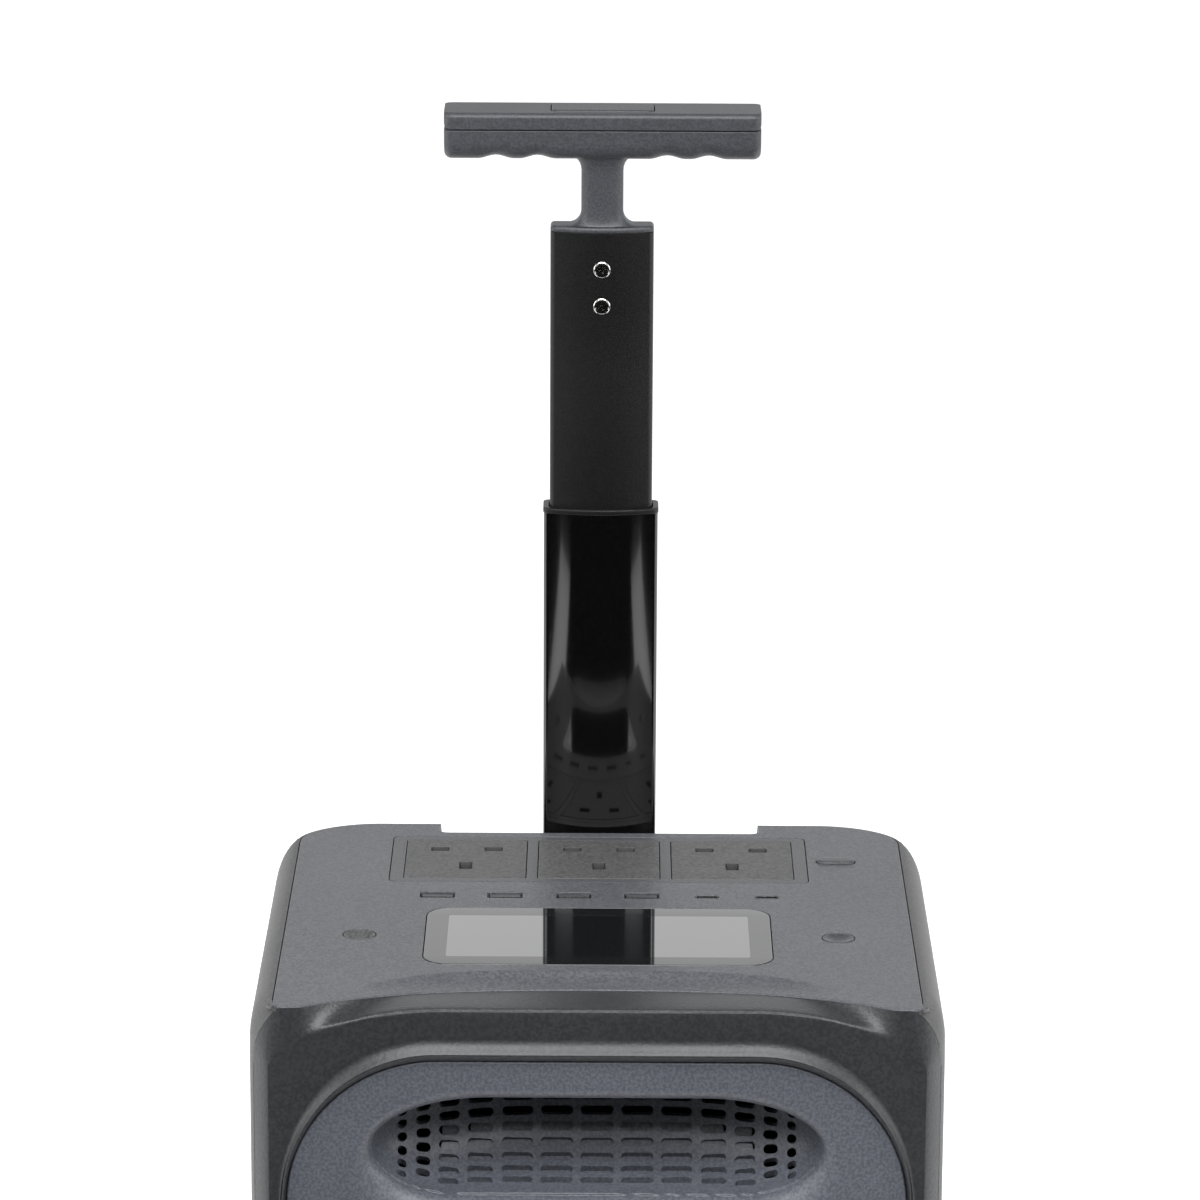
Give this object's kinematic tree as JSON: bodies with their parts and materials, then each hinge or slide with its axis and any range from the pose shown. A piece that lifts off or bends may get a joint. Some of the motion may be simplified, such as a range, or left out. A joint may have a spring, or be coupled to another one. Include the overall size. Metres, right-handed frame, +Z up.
{
  "type": "power station",
  "caption": "Wheeled portable power station: tall charcoal case, blue-grey control panel with sockets, ports and display, carry grille and two-stage telescopic pull handle.",
  "frame": {"origin": "on the floor under the middle of the bounding box, with the handle pulled out", "axes": "+Z up, -Y towards the front grille, +Y towards the pull handle and wheels, +X to the right seen from -Y"},
  "size_m": [0.269, 0.266, 0.746],
  "materials": {
    "case_plastic": "satin",
    "panel_plastic": "satin",
    "socket_plastic": "satin",
    "display_gloss": "gloss",
    "tube_gloss": "gloss",
    "tube_satin": "satin",
    "bright_metal": "gloss",
    "steel": "satin",
    "aluminium": "satin",
    "cell_wrap": "satin",
    "board": "satin",
    "tyre_rubber": "matte",
    "hub_plastic": "satin"
  },
  "bodies": {
    "case": {"ac_inlet": "socket_plastic", "ac_socket_left": "socket_plastic", "ac_socket_middle": "socket_plastic", "ac_socket_right": "socket_plastic", "ac_spring": "bright_metal", "axle": "steel", "base_tray": "case_plastic", "battery_cells": "cell_wrap", "battery_cradle": "socket_plastic", "battery_strap": "socket_plastic", "bms_board": "board", "busbars": "aluminium", "capacitors": "aluminium", "case_screws": "bright_metal", "control_board": "board", "display_glass": "display_gloss", "fan_frame_left": "socket_plastic", "fan_frame_right": "socket_plastic", "front_feet": "tyre_rubber", "front_grille": "panel_plastic", "front_shell": "case_plastic", "handle_guide": "socket_plastic", "heat_sink": "aluminium", "inverter_board": "board", "lcd_module": "socket_plastic", "power_spring": "bright_metal", "rear_shell": "case_plastic", "side_cover_left": "case_plastic", "side_cover_right": "case_plastic", "socket_frame": "socket_plastic", "solar_inlet": "socket_plastic", "top_panel": "panel_plastic", "transformer": "socket_plastic", "usb_a_ports": "bright_metal", "usb_c_ports": "bright_metal", "usb_spring": "bright_metal", "wheel_well_left": "case_plastic", "wheel_well_right": "case_plastic"},
    "handle_outer": {"outer_tube": "tube_gloss", "tube_collar": "tube_gloss"},
    "handle_inner": {"inner_tube": "tube_satin", "grip_stem": "panel_plastic", "grip_body": "panel_plastic", "grip_cap": "panel_plastic", "tube_screws": "bright_metal", "latch_block": "socket_plastic"},
    "release_button": {"release_button": "socket_plastic", "push_rod": "bright_metal"},
    "lock_pin": {"lock_pin": "bright_metal"},
    "power_button": {"power_button": "socket_plastic"},
    "ac_button": {"ac_button": "socket_plastic"},
    "usb_button": {"usb_button": "socket_plastic"},
    "wheel_left": {"tyre_left": "tyre_rubber", "wheel_hub_left": "hub_plastic"},
    "wheel_right": {"tyre_right": "tyre_rubber", "wheel_hub_right": "hub_plastic"},
    "fan_rotor_left": {"fan_rotor_left": "socket_plastic"},
    "fan_rotor_right": {"fan_rotor_right": "socket_plastic"}
  },
  "joints": [
    {"name": "handle_outer_slide", "type": "slide", "parent": "case", "child": "handle_outer", "axis": [0, 0, 1], "range_m": [-0.19, 0]},
    {"name": "handle_inner_slide", "type": "slide", "parent": "handle_outer", "child": "handle_inner", "axis": [0, 0, 1], "range_m": [-0.1166, 0]},
    {"name": "release_press", "type": "slide", "parent": "handle_inner", "child": "release_button", "axis": [0, 0, -1], "range_m": [0, 0.004], "stiffness_N_per_m": 400, "springref_m": -0.002},
    {"name": "lock_pin_slide", "type": "slide", "parent": "handle_inner", "child": "lock_pin", "axis": [-1, 0, 0], "range_m": [0, 0.004]},
    {"name": "power_button_press", "type": "slide", "parent": "case", "child": "power_button", "axis": [0, 0, -1], "range_m": [0, 0.0015], "stiffness_N_per_m": 300, "springref_m": -0.001, "deforming": ["power_spring"]},
    {"name": "ac_button_press", "type": "slide", "parent": "case", "child": "ac_button", "axis": [0, 0, -1], "range_m": [0, 0.0015], "stiffness_N_per_m": 300, "springref_m": -0.001, "deforming": ["ac_spring"]},
    {"name": "usb_button_press", "type": "slide", "parent": "case", "child": "usb_button", "axis": [0, 0, -1], "range_m": [0, 0.0015], "stiffness_N_per_m": 300, "springref_m": -0.001, "deforming": ["usb_spring"]},
    {"name": "wheel_left_spin", "type": "hinge", "parent": "case", "child": "wheel_left", "pos_m": [0, 0.085, 0.048], "axis": [1, 0, 0], "continuous": true},
    {"name": "wheel_right_spin", "type": "hinge", "parent": "case", "child": "wheel_right", "pos_m": [0, 0.085, 0.048], "axis": [1, 0, 0], "continuous": true},
    {"name": "fan_left_spin", "type": "hinge", "parent": "case", "child": "fan_rotor_left", "pos_m": [0, -0.02, 0.34], "axis": [1, 0, 0], "continuous": true},
    {"name": "fan_right_spin", "type": "hinge", "parent": "case", "child": "fan_rotor_right", "pos_m": [0, -0.02, 0.34], "axis": [1, 0, 0], "continuous": true}
  ],
  "couplings": [
    {"joint": "lock_pin_slide", "follows": "release_press", "ratio": 0.75}
  ]
}
